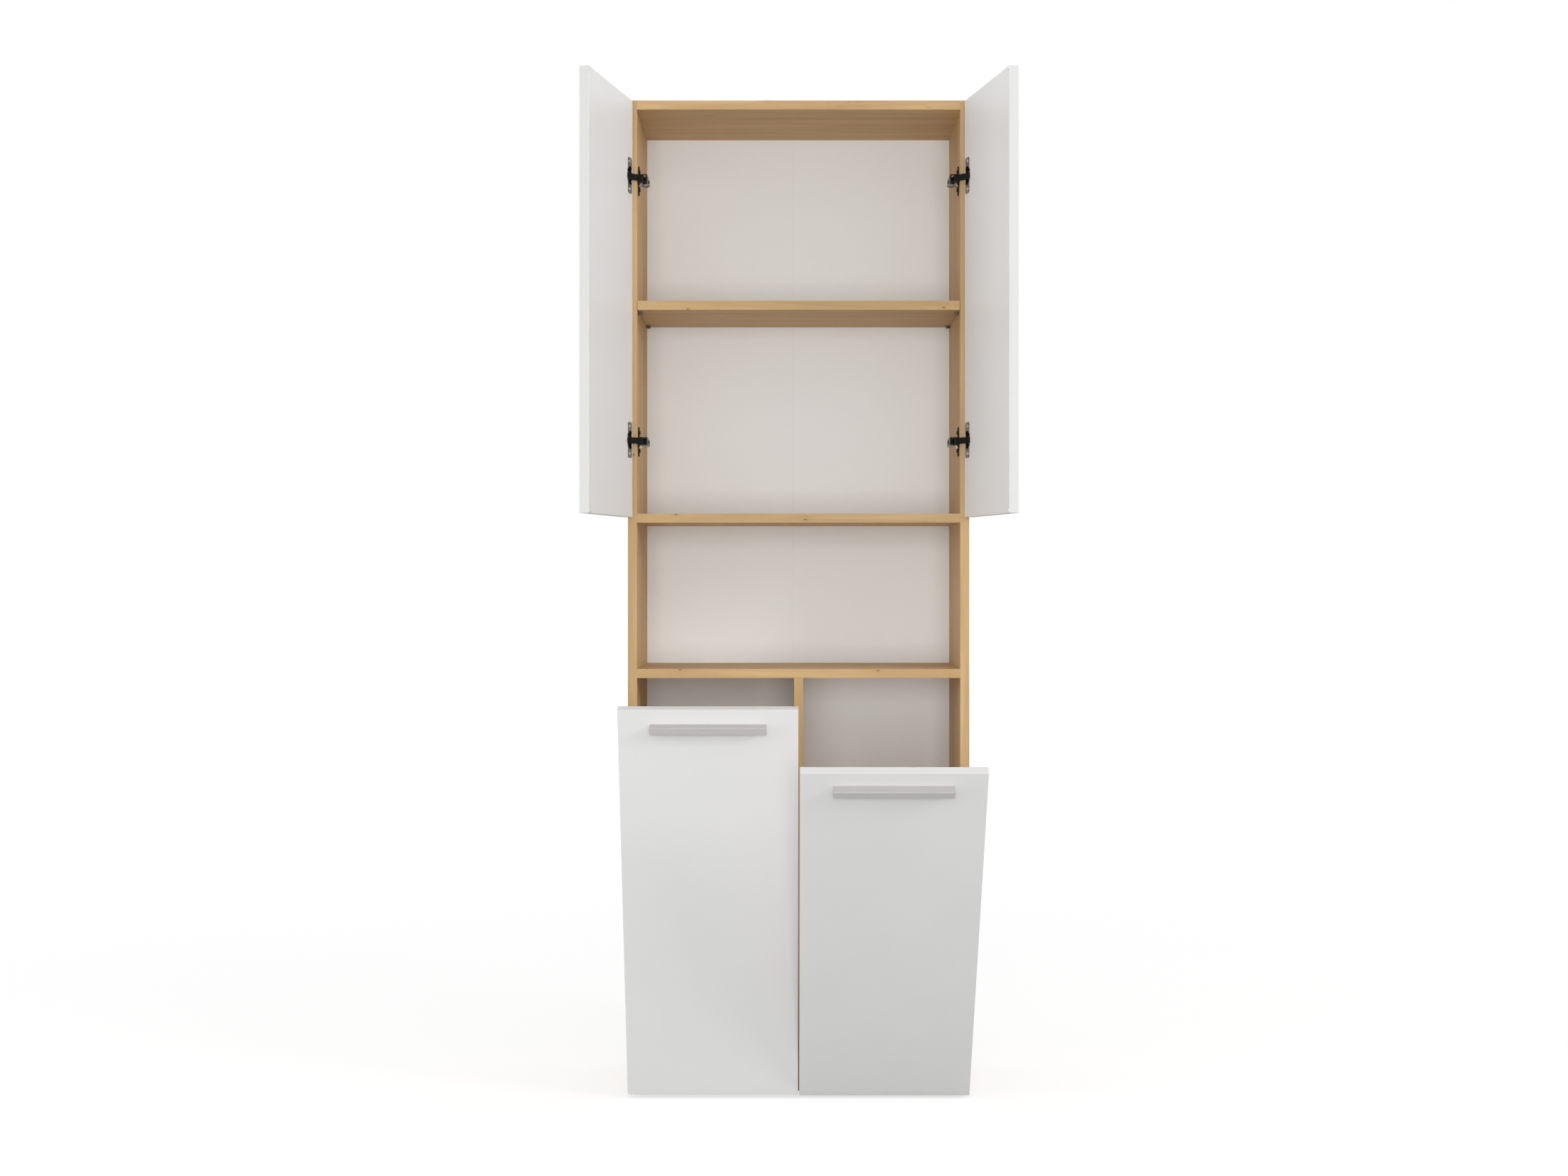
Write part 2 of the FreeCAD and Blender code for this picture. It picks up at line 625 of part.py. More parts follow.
DOOR_MIDDLE_Z = (DOOR_LOW_Z + DOOR_HIGH_Z) / 2
left_door = Front("left_door", Vector(-INNER_X, FRONT_Y, DOOR_MIDDLE_Z), X_AXIS,
                  FRONT_WIDTH, DOOR_HEIGHT, DOOR_HINGE_INSET, DOOR_REST_ANGLE, 0, -1)
right_door = Front("right_door", Vector(INNER_X, FRONT_Y, DOOR_MIDDLE_Z), -X_AXIS,
                   FRONT_WIDTH, DOOR_HEIGHT, DOOR_HINGE_INSET, DOOR_REST_ANGLE, 0, 1)
left_flap = Front("left_flap", Vector(-flap_middle_x(), FRONT_Y, BASE_Z + BOARD), Z_AXIS,
                  FLAP_HEIGHT, FRONT_WIDTH, FLAP_HINGE_INSET, LEFT_FLAP_REST_ANGLE, 1, -1)
right_flap = Front("right_flap", Vector(flap_middle_x(), FRONT_Y, BASE_Z + BOARD), Z_AXIS,
                   FLAP_HEIGHT, FRONT_WIDTH, FLAP_HINGE_INSET, RIGHT_FLAP_REST_ANGLE, -1, -1)
doors = (left_door, right_door)
flaps = (left_flap, right_flap)

nodes = {}


def add(name, *shapes):
    """Keep one node's solids under its name."""
    nodes[name] = [solid for shape in shapes for solid in shape.Solids]


# Hinges: what is fixed to the carcase, what is fixed to each front, and the links between
plate_screw_holes = [bore(SCREW_RADIUS, seat, -X_AXIS, PLATE_SCREW_LENGTH) for seat in plate_screw_seats()]
plate_screws = [screw(seat, -X_AXIS, SCREW_RADIUS, PLATE_SCREW_LENGTH) for seat in plate_screw_seats()]
cup_screws = [screw(seat, -Y_AXIS, SCREW_RADIUS, CUP_SCREW_LENGTH) for seat in cup_screw_seats()]
arm_screw = screw(arm_screw_seat(), -X_AXIS, SCREW_RADIUS, ARM_SCREW_LENGTH)
fixed = {name: [] for name in ("hinge_arms", "hinge_mounting_plates", "hinge_release_tabs",
                               "hinge_plate_screws", "hinge_arm_screws")}
panel_holes = {front.name: [] for front in doors + flaps}
arm_shapes = {down: hinge_arm(down) for down in (-1, 1)}
plate_shape = mounting_plate()
cup_shape = hinge_cup()
for front in doors + flaps:
    fixed["hinge_arms"] += front.at_hinges(arm_shapes[front.down])
    fixed["hinge_release_tabs"] += front.at_hinges(release_tab(front.down))
    fixed["hinge_mounting_plates"] += front.at_hinges(plate_shape)
    fixed["hinge_arm_screws"] += front.at_hinges(arm_screw)
    for shape, hole in zip(plate_screws, plate_screw_holes):
        fixed["hinge_plate_screws"] += front.at_hinges(shape)
        panel_holes[front.name] += front.at_hinges(hole)
    add(front.name + "_hinge_cups", *front.swung_at_hinges(cup_shape))
    add(front.name + "_hinge_pins", *front.swung_at_hinges(hinge_pin()))
    add(front.name + "_cup_screws", *[copy for one in cup_screws for copy in front.swung_at_hinges(one)])
    add(front.name + "_hinge_links", *front.at_hinges(hinge_link(front.rest)))
for name, shapes in fixed.items():
    add(name, *shapes)

# Doors
for front in doors:
    add(front.name + "_panel", front.swung(front_board(front, [])))
    add(front.name + "_bumpers", *[front.swung(one) for one in bumpers(front)])

# Flaps with their handles and stays
stay_studs = []
for front in flaps:
    holes = handle_screw_holes() + stay_screw_holes(front.side)
    grip = FRONT_THICKNESS + HANDLE_SCREW_GRIP
    handle_screws = [screw(seat, -Y_AXIS, HANDLE_SCREW_RADIUS, grip) for seat in handle_screw_seats()]
    stay_seats = stay_screw_seats(front.side)
    stay_screws = [screw(seat, -Y_AXIS, SCREW_RADIUS, STAY_SCREW_LENGTH) for seat in stay_seats]
    add(front.name + "_panel", front.swung(front_board(front, holes)))
    add(front.name + "_bumpers", *[front.swung(one) for one in bumpers(front)])
    add(front.name + "_handle", front.swung(handle()))
    add(front.name + "_handle_screws", *[front.swung(one) for one in handle_screws])
    add(front.name + "_stay_arm", front.swung(stay_arm(front.side)))
    add(front.name + "_stay_screws", *[front.swung(one) for one in stay_screws])
    stay_studs.append(put(stay_stud(front.side), front.frame))
    panel_holes[front.name + "_stay"] = [put(stay_stud_hole(front.side), front.frame)]
add("stay_studs", *stay_studs)

# Corner fittings: dowels and cam fittings at both ends of each fixed board
fixed_boards = {
    "top_board": (CABINET_TOP_Z - BOARD / 2, 1),
    "door_shelf": (DOOR_SHELF_HEIGHT, 1),
    "niche_floor": (NICHE_FLOOR_HEIGHT, -1),
    "bottom_board": (BASE_Z + BOARD / 2, -1),
}
dowel_ys = (FRONT_Y + DOWEL_FRONT, BOARD_REAR_Y - DOWEL_REAR)
cam_ys = (FRONT_Y + CAM_FRONT, BOARD_REAR_Y - CAM_REAR)
board_holes = {name: [] for name in fixed_boards}
side_holes = {-1: [], 1: []}
dowels = []
cam_bolts = []
cams = []


def dowel(start, direction, first, second):
    """A dowel across a joint, with its hole, reaching a depth on each side of a point."""
    length = first + second
    peg = rod(DOWEL_RADIUS, start - direction * (first - HOLE_END_CLEARANCE), direction,
              length - 2 * HOLE_END_CLEARANCE)
    hole = rod(DOWEL_RADIUS + BORE_CLEARANCE, start - direction * first, direction, length)
    return peg, hole


def cam_fitting(joint, inward, up):
    """Bolt and cam at one board end: the joint point, the way into the board, the cam's face."""
    root = rod(CAM_BOLT_ROOT_RADIUS, joint - inward * CAM_BOLT_ROOT, inward, CAM_BOLT_ROOT)
    bolt = joined(root, rod(CAM_BOLT_RADIUS, joint, inward, CAM_SETBACK))
    deep = CAM_BOLT_ROOT + BORE_CLEARANCE
    root_hole = rod(CAM_BOLT_ROOT_RADIUS + BORE_CLEARANCE, joint - inward * deep, inward, deep)
    bolt_hole = bore(CAM_BOLT_RADIUS, joint, inward, CAM_SETBACK)
    crown = joint + inward * CAM_SETBACK + Z_AXIS * up * BOARD / 2
    cam = rod(CAM_RADIUS, crown, Z_AXIS * -up, CAM_DEPTH).cut(bolt_hole)
    cam_hole = bore(CAM_RADIUS, crown, Z_AXIS * -up, CAM_DEPTH - HOLE_END_CLEARANCE)
    arms = [bar(crown, along, Z_AXIS, CAM_CROSS_LENGTH, CAM_CROSS_WIDTH, 2 * CAM_CROSS_DEPTH)
            for along in (X_AXIS, Y_AXIS)]
    return bolt, cam.cut(arms), root_hole, [bolt_hole, cam_hole]


for name, (height, up) in fixed_boards.items():
    for side in (-1, 1):
        inward = X_AXIS * -side
        for y in dowel_ys:
            peg, hole = dowel(Vector(side * INNER_X, y, height), inward, DOWEL_IN_SIDE, DOWEL_IN_BOARD)
            dowels.append(peg)
            board_holes[name].append(hole)
            side_holes[side].append(hole)
        for y in cam_ys:
            bolt, cam, root_hole, cuts = cam_fitting(Vector(side * INNER_X, y, height), inward, up)
            cam_bolts.append(bolt)
            cams.append(cam)
            side_holes[side].append(root_hole)
            board_holes[name] += cuts

# The divider stands between the bottom board and the niche floor on dowels
divider_low = BASE_Z + BOARD
divider_high = NICHE_FLOOR_HEIGHT - BOARD / 2
divider_holes = []
for y in dowel_ys:
    for name, z, up in (("bottom_board", divider_low, Z_AXIS), ("niche_floor", divider_high, -Z_AXIS)):
        peg, hole = dowel(Vector(0, y, z), up, DOWEL_IN_SIDE, DOWEL_IN_BOARD)
        dowels.append(peg)
        board_holes[name].append(hole)
        divider_holes.append(hole)
add("dowels", *dowels)
add("cam_bolts", *cam_bolts)
add("cam_locks", *cams)

# Back panels and the nails that hold them
back_low = BASE_Z + BACK_INSET
back_high = CABINET_TOP_Z - BACK_INSET
nail_spots = []


def spread(low, high, count):
    """Evenly spaced places from one limit to the other."""
    return [low + (high - low) * step / (count - 1) for step in range(count)]


for z in spread(back_low + NAIL_END_INSET, back_high - NAIL_END_INSET, NAILS_PER_SIDE):
    nail_spots += [(-OUTER_X + BOARD / 2, z), (OUTER_X - BOARD / 2, z)]
for height, up in fixed_boards.values():
    reach = INNER_X - NAIL_END_INSET
    nail_spots += [(x, height) for x in spread(-reach, reach, NAILS_PER_BOARD)]


def nail(x, z):
    """A flat-headed nail, flush with the back panel."""
    seat = Vector(x, REAR_Y, z)
    head = rod(NAIL_HEAD_RADIUS, seat, -Y_AXIS, NAIL_HEAD_HEIGHT)
    return joined(head, rod(NAIL_RADIUS, seat, -Y_AXIS, NAIL_LENGTH))


def nail_hole(x, z):
    """The nail's own hole with its sunk head."""
    seat = Vector(x, REAR_Y, z)
    head = rod(NAIL_HEAD_RADIUS + BORE_CLEARANCE, seat, -Y_AXIS, NAIL_HEAD_HEIGHT)
    return joined(head, rod(NAIL_RADIUS + BORE_CLEARANCE, seat, -Y_AXIS, NAIL_LENGTH + BORE_CLEARANCE))


nail_holes = [nail_hole(x, z) for x, z in nail_spots]
add("back_panel_nails", *[nail(x, z) for x, z in nail_spots])
back_y = (BOARD_REAR_Y, REAR_Y)
left_back = box((-OUTER_X + BACK_INSET, BACK_JOINT_X), back_y, (back_low, back_high))
right_back = box((BACK_JOINT_X, OUTER_X - BACK_INSET), back_y, (back_low, back_high))
add("left_back_panel", left_back.cut(nail_holes))
add("right_back_panel", right_back.cut(nail_holes))

# Feet under the side panels, and one under the middle of the bottom board
foot_spots = [(x, y) for x in (-OUTER_X + BOARD / 2, OUTER_X - BOARD / 2)
              for y in (FRONT_Y + GLIDE_INSET, BOARD_REAR_Y - GLIDE_INSET)] + [(0, 0)]
glides = []
glide_nails = []
glide_nail_holes = []
for x, y in foot_spots:
    root = Vector(x, y, GLIDE_HEIGHT - GLIDE_NAIL_ROOT)
    hole = rod(GLIDE_NAIL_RADIUS + BORE_CLEARANCE, root, Z_AXIS, GLIDE_NAIL_LENGTH + HOLE_END_CLEARANCE)
    glides.append(rod(GLIDE_RADIUS, Vector(x, y, 0), Z_AXIS, GLIDE_HEIGHT).cut(hole))
    glide_nails.append(rod(GLIDE_NAIL_RADIUS, root, Z_AXIS, GLIDE_NAIL_LENGTH))
    glide_nail_holes.append(hole)
add("glides", *glides)
add("glide_nails", *glide_nails)

# Loose shelf and the pins that it lies on
shelf_low = LOOSE_SHELF_HEIGHT - BOARD / 2
loose_shelf = box((-INNER_X + LOOSE_SHELF_SIDE_GAP, INNER_X - LOOSE_SHELF_SIDE_GAP),
                  (FRONT_Y, BOARD_REAR_Y - LOOSE_SHELF_REAR_GAP), (shelf_low, shelf_low + BOARD))
pins = []
for side in (-1, 1):
    for y in (FRONT_Y + SHELF_PIN_FRONT, BOARD_REAR_Y - SHELF_PIN_REAR):
        face = Vector(side * INNER_X, y, shelf_low - SHELF_PIN_HEIGHT / 2)
        root = rod(SHELF_PIN_RADIUS, face, X_AXIS * side, SHELF_PIN_ROOT)
        xs = sorted((side * INNER_X, side * (INNER_X - SHELF_PIN_REACH)))
        ys = (y - SHELF_PIN_WIDTH / 2, y + SHELF_PIN_WIDTH / 2)
        rest = box(xs, ys, (shelf_low - SHELF_PIN_HEIGHT, shelf_low))
        pins.append(joined(rest, root))
        side_holes[side].append(bore(SHELF_PIN_RADIUS, face, X_AXIS * side, SHELF_PIN_ROOT))
add("shelf_pins", *pins)

# Wall brackets on the rear of the top board
brackets = []
bracket_screws = []
for x in (-BRACKET_SPACING / 2, BRACKET_SPACING / 2):
    span = (x - BRACKET_WIDTH / 2, x + BRACKET_WIDTH / 2)
    foot = box(span, (REAR_Y - BRACKET_FOOT, REAR_Y), (CABINET_TOP_Z, CABINET_TOP_Z + BRACKET_SHEET))
    upright = box(span, (REAR_Y - BRACKET_SHEET, REAR_Y), (CABINET_TOP_Z, CABINET_TOP_Z + BRACKET_HEIGHT))
    hole_start = Vector(x, REAR_Y - BRACKET_FOOT, CABINET_TOP_Z + BRACKET_HOLE_HEIGHT)
    wall_hole = rod(BRACKET_HOLE_RADIUS, hole_start, Y_AXIS, 2 * BRACKET_FOOT)
    bracket = joined(foot, upright).cut(wall_hole)
    for dx in (-BRACKET_SCREW_SPACING / 2, BRACKET_SCREW_SPACING / 2):
        seat = Vector(x + dx, REAR_Y - BRACKET_SCREW_SETBACK, CABINET_TOP_Z + BRACKET_SHEET)
        hole = bore(SCREW_RADIUS, seat, -Z_AXIS, BRACKET_SCREW_LENGTH)
        bracket = bracket.cut(hole)
        board_holes["top_board"].append(hole)
        bracket_screws.append(screw(seat, -Z_AXIS, SCREW_RADIUS, BRACKET_SCREW_LENGTH))
    brackets.append(bracket)
add("wall_brackets", *brackets)
add("wall_bracket_screws", *bracket_screws)


# Boards of the carcase, with every hole that the fittings need
def front_edges(board, direction):
    """Soften a board's two long front edges."""
    return rounded_along(board, BOARD_EDGE_ROUND, direction, lambda middle: middle.y < FRONT_Y + SAME_PLACE)


def side_panel(side, holes):
    """One side panel."""
    xs = sorted((side * INNER_X, side * OUTER_X))
    panel = box(xs, (FRONT_Y, BOARD_REAR_Y), (BASE_Z, CABINET_TOP_Z))
    return front_edges(panel, Z_AXIS).cut(holes)


def cross_board(height, holes):
    """One fixed board between the side panels."""
    board = box((-INNER_X, INNER_X), (FRONT_Y, BOARD_REAR_Y), (height - BOARD / 2, height + BOARD / 2))
    return front_edges(board, X_AXIS).cut(holes)


back_and_feet = nail_holes + glide_nail_holes
left_holes = panel_holes["left_door"] + panel_holes["left_flap_stay"]
right_holes = panel_holes["right_door"] + panel_holes["right_flap_stay"]
board_holes["bottom_board"] += panel_holes["left_flap"] + panel_holes["right_flap"]
add("left_side_panel", side_panel(-1, side_holes[-1] + left_holes + back_and_feet))
add("right_side_panel", side_panel(1, side_holes[1] + right_holes + back_and_feet))
for name, (height, up) in fixed_boards.items():
    add(name, cross_board(height, board_holes[name] + back_and_feet))
add("loose_shelf", front_edges(loose_shelf, X_AXIS))
divider = box((-BOARD / 2, BOARD / 2), (FRONT_Y, BOARD_REAR_Y), (divider_low, divider_high))
add("centre_divider", front_edges(divider, Z_AXIS).cut(divider_holes))

# One file for each node
os.makedirs("parts", exist_ok=True)
for name, solids in sorted(nodes.items()):
    shape = solids[0] if len(solids) == 1 else Part.makeCompound(solids)
    shape.exportStep("parts/%s.step" % name)
    volume = sum(solid.Volume for solid in solids)
    print("%-28s %3d solids %10.1f cm3  valid %s" % (name, len(solids), volume / 1000, shape.isValid()))
print(len(nodes), "nodes")
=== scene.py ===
# %% [markdown]
# # A tall bathroom cabinet
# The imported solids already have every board, hinge and handle at its real size, so Blender's work here is
# the finishes, a set of small cover caps, the light and the camera. Loading the frame first gives one
# object for each piece, each at the origin with its place in its mesh, so that patterns on Object
# coordinates are measured in metres of the real cabinet.

# %% Load the cabinet
import json
import math
import bpy
import numpy as np
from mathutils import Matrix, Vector


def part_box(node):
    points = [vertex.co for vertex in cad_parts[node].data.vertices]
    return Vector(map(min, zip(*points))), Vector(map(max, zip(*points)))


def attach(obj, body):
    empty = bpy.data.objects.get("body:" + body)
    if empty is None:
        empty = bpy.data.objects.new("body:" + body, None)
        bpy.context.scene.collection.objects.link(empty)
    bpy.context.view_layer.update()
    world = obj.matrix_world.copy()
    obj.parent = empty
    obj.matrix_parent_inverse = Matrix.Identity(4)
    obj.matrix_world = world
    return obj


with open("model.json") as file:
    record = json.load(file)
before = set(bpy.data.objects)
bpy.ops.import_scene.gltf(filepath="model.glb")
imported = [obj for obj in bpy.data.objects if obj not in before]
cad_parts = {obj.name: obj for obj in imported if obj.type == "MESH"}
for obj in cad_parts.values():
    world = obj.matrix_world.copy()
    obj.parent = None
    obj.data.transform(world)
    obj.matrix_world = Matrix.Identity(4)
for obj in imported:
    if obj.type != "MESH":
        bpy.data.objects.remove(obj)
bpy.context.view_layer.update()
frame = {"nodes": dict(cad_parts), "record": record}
nodes = frame["nodes"]
slot_of = {part["node"]: part["material_slot"] for part in frame["record"]["subparts"]}

# %% [markdown]
# ## A finish under construction
# Every finish below is built the same way: a few textures on the piece's own coordinates, mixed into a
# colour, a roughness and a fine relief. The same wiring could be typed out for each material, but a small
# class that adds a node, feeds its sockets and returns its output keeps each recipe short enough to read.


# %% The helper that wires a finish
class Finish:
    """A node material in the making: its shader, and the piece's own coordinates in metres."""

    def __init__(self, name):
        self.material = bpy.data.materials.new(name)
        self.material.use_nodes = True
        self.tree = self.material.node_tree
        self.shader = self.tree.nodes["Principled BSDF"]
        self.place = self.node("ShaderNodeTexCoord").outputs["Object"]

    def feed(self, socket, value):
        """Link another node's output to a socket, or set a constant on it."""
        if isinstance(value, bpy.types.NodeSocket):
            self.tree.links.new(value, socket)
        else:
            socket.default_value = value

    def node(self, kind, inputs=(), **settings):
        """Add a node, with its settings and its inputs in order; None skips an input."""
        made = self.tree.nodes.new(kind)
        for key, value in settings.items():
            setattr(made, key, value)
        for socket, value in zip(made.inputs, inputs):
            if value is not None:
                self.feed(socket, value)
        return made

    def stretched(self, scale):
        """The coordinates multiplied by a factor on each axis."""
        return self.node("ShaderNodeMapping", [self.place, None, None, scale]).outputs[0]

    def noise(self, vector, scale, detail=2.0, roughness=0.5, distortion=0.0):
        """Soft noise with about `scale` lumps in a metre of the given coordinates."""
        made = self.node("ShaderNodeTexNoise")
        wanted = {"Vector": vector, "Scale": scale, "Detail": detail, "Roughness": roughness,
                  "Distortion": distortion}
        for key, value in wanted.items():
            self.feed(made.inputs[key], value)
        return made.outputs[0]

    def cells(self, vector, scale, dimensions="3D"):
        """Random cells: the distance to each cell's centre, and a random colour for the cell."""
        made = self.node("ShaderNodeTexVoronoi", voronoi_dimensions=dimensions)
        self.feed(made.inputs["Vector"], vector)
        self.feed(made.inputs["Scale"], scale)
        return made.outputs["Distance"], made.outputs["Color"]

    def ramp(self, value, low, high, to_low=0.0, to_high=1.0):
        """A smooth step from one value to another while the input goes from low to high."""
        made = self.node("ShaderNodeMapRange", [value, low, high, to_low, to_high],
                         interpolation_type="SMOOTHSTEP")
        return made.outputs[0]

    def math(self, operation, first, second=None):
        """One sum, product or comparison of two values, or a function of one."""
        return self.node("ShaderNodeMath", [first, second], operation=operation).outputs[0]

    def mix(self, factor, first, second, blend="MIX"):
        """Two colours mixed by a factor."""
        made = self.node("ShaderNodeMix", data_type="RGBA", blend_type=blend)
        for index, value in ((0, factor), (6, first), (7, second)):
            self.feed(made.inputs[index], value)
        return made.outputs[2]

    def axes(self):
        """The three coordinates one by one."""
        return self.node("ShaderNodeSeparateXYZ", [self.place]).outputs

    def relief(self, height, depth, strength=1.0):
        """A bump of the given depth in metres."""
        bump = self.node("ShaderNodeBump")
        for key, value in (("Strength", strength), ("Distance", depth), ("Height", height)):
            self.feed(bump.inputs[key], value)
        self.feed(self.shader.inputs["Normal"], bump.outputs[0])

    def set(self, **values):
        """Constants and links on the shader's own sockets, named with _ for a space."""
        for key, value in values.items():
            self.feed(self.shader.inputs[key.replace("_", " ")], value)


# %% [markdown]
# ## Handing out finishes
# The record names a material slot for every piece. Materials could be assigned piece by piece, but going by
# slot dresses all the pieces of one kind at once.


# %% Colours and slots
def shade(red, green, blue):
    """A linear colour with full alpha."""
    return (red, green, blue, 1.0)


def dress(finish, *names):
    """Give a finish to the named pieces."""
    for name in names:
        nodes[name].data.materials.clear()
        nodes[name].data.materials.append(finish.material)
    print("%s on %d pieces" % (finish.material.name, len(names)))


def in_slot(*slots):
    """The pieces that the record puts in these material slots."""
    return sorted(name for name, slot in slot_of.items() if slot in slots)


print("material slots:", sorted(set(slot_of.values())))

# %% [markdown]
# ## Oak decor boards
# The carcase is chipboard with a printed light-oak surface and a matching band on the front edges. A
# photograph of wood would be quickest, but a procedural board has no seams and can run its grain along any
# axis: upright on the sides and the divider, level on the shelves. Growth lines are level lines of a slow
# noise that is drawn out along the grain, so they open into arches by themselves. Over them lie broad
# streaks, narrower bands, fine fibres, short dark flames in loose groups, and sparse knots. The front edge
# is a strip of its own, a little deeper in tone and with more knots, so a mask on Y picks it out.

# %% Oak
EDGE_BAND_Y = -0.1494
OAK_LIGHT = shade(0.722, 0.494, 0.243)
OAK_DARK = shade(0.525, 0.334, 0.145)
OAK_EDGE = shade(0.905, 0.900, 0.878)
FLAME_BROWN = shade(0.270, 0.150, 0.066)
KNOT_BROWN = shade(0.150, 0.078, 0.036)
GROWTH_LINES = 13.0
KNOTS_PER_METRE = 9.0
KNOT_SQUEEZE = 2.4
FACE_KNOT_SHARE = 0.10
EDGE_KNOT_SHARE = 0.42


def knots_and_halos(oak, axes, along, across, edge):
    """Dark spots and the darker wood round them, in a random share of flat cells across the board."""
    squeezed = oak.math("MULTIPLY", axes[across], KNOT_SQUEEZE)
    spots = oak.node("ShaderNodeCombineXYZ", [axes[along], squeezed, 0.0]).outputs[0]
    distance, chance = oak.cells(spots, KNOTS_PER_METRE, "2D")
    share = oak.ramp(edge, 0.0, 1.0, FACE_KNOT_SHARE, EDGE_KNOT_SHARE)
    chosen = oak.math("LESS_THAN", oak.node("ShaderNodeSeparateColor", [chance]).outputs[0], share)
    knot = oak.math("MULTIPLY", chosen, oak.ramp(distance, 0.014, 0.040, 0.75, 0.0))
    halo = oak.math("MULTIPLY", chosen, oak.ramp(distance, 0.030, 0.170, 0.45, 0.0))
    return knot, halo


def oak_board(name, along, across):
    """Light oak whose grain runs along one axis; knots are placed by the along and across coordinates."""
    oak = Finish(name)

    def drawn_out(scale, share, detail=2.0, distortion=0.0):
        """Noise whose lumps are longer along the grain, with the share of its scale that is left there."""
        stretch = [1.0, 1.0, 1.0]
        stretch[along] = share
        return oak.noise(oak.stretched(stretch), scale, detail, 0.58, distortion)

    streaks = oak.ramp(drawn_out(38.0, 0.045, 3.0, 0.6), 0.36, 0.64)
    phase = oak.math("MULTIPLY", drawn_out(9.0, 0.10, 1.5), 2 * math.pi * GROWTH_LINES)
    growth = oak.math("SINE", phase)
    bands = drawn_out(170.0, 0.035, 2.0, 0.4)
    fibres = drawn_out(520.0, 0.045, 4.0)
    pores = oak.ramp(drawn_out(1300.0, 0.10), 0.63, 0.72)
    groups = oak.ramp(drawn_out(11.0, 0.40), 0.54, 0.68)
    flames = oak.math("MULTIPLY", groups, oak.ramp(drawn_out(170.0, 0.09, 3.0, 0.6), 0.60, 0.72))
    axes = oak.axes()
    edge = oak.math("LESS_THAN", axes[1], EDGE_BAND_Y)
    knot, halo = knots_and_halos(oak, axes, along, across, edge)
    tone = oak.math("ADD", oak.ramp(streaks, 0.0, 1.0, 0.10, 0.70), oak.ramp(growth, -1.0, 1.0, 0.0, 0.20))
    colour = oak.mix(tone, OAK_DARK, OAK_LIGHT)
    colour = oak.mix(oak.ramp(bands, 0.36, 0.64, 0.50, 0.0), colour, OAK_DARK)
    colour = oak.mix(oak.ramp(fibres, 0.30, 0.70, 0.22, 0.0), colour, OAK_DARK)
    colour = oak.mix(oak.math("MULTIPLY", flames, 0.72), colour, FLAME_BROWN)
    colour = oak.mix(oak.math("MULTIPLY", pores, 0.22), colour, KNOT_BROWN)
    colour = oak.mix(halo, colour, OAK_DARK)
    colour = oak.mix(knot, colour, KNOT_BROWN)
    colour = oak.mix(edge, colour, oak.mix(1.0, colour, OAK_EDGE, "MULTIPLY"))
    oak.set(Base_Color=colour, Roughness=oak.ramp(fibres, 0.2, 0.8, 0.50, 0.62), IOR=1.45)
    oak.relief(oak.math("SUBTRACT", fibres, pores), 0.00012, 0.35)
    return oak


UPRIGHT = ("left_side_panel", "right_side_panel", "centre_divider")
LEVEL = tuple(name for name in in_slot("oak_board") if name not in UPRIGHT)
oak_upright = oak_board("oak_upright", along=2, across=0)
oak_level = oak_board("oak_level", along=0, across=2)
dress(oak_upright, *UPRIGHT)
dress(oak_level, *LEVEL)

# %% [markdown]
# ## White fronts
# The doors and flaps are white melamine: never quite one colour, with a faint orange-peel relief that
# softens reflections. Their edge bands are painted a little greyer than the front, a painted shade, and the
# inner faces a little whiter, a painted light that brightens them more than the lamps do. Each front could
# be cut into three objects for that, but the depth below its outer face tells the three apart on one piece.

# %% Melamine
FRONT_WHITE = shade(0.804, 0.801, 0.796)
# The edge colour below is a painted shade, and the inner colour a painted light on the inner faces.
EDGE_WHITE_PAINTED_SHADE = shade(0.722, 0.719, 0.715)
INNER_WHITE_PAINTED_LIGHT = shade(0.905, 0.908, 0.916)
FACE_SKIN = 0.0002
DULL_SHARE = 0.985
DOOR_ANGLE = math.radians(100.0)
LEFT_FLAP_ANGLE = math.radians(20.0)
RIGHT_FLAP_ANGLE = math.radians(35.0)
OUTWARD = {"left_door_panel": (-math.sin(DOOR_ANGLE), -math.cos(DOOR_ANGLE), 0.0),
           "right_door_panel": (math.sin(DOOR_ANGLE), -math.cos(DOOR_ANGLE), 0.0),
           "left_flap_panel": (0.0, -math.cos(LEFT_FLAP_ANGLE), -math.sin(LEFT_FLAP_ANGLE)),
           "right_flap_panel": (0.0, -math.cos(RIGHT_FLAP_ANGLE), -math.sin(RIGHT_FLAP_ANGLE))}


def reach(name, direction):
    """How far a piece reaches along a direction: its points' least and greatest product with it."""
    points = np.empty(len(nodes[name].data.vertices) * 3)
    nodes[name].data.vertices.foreach_get("co", points)
    along = points.reshape(-1, 3) @ np.array(direction)
    return along.min(), along.max()


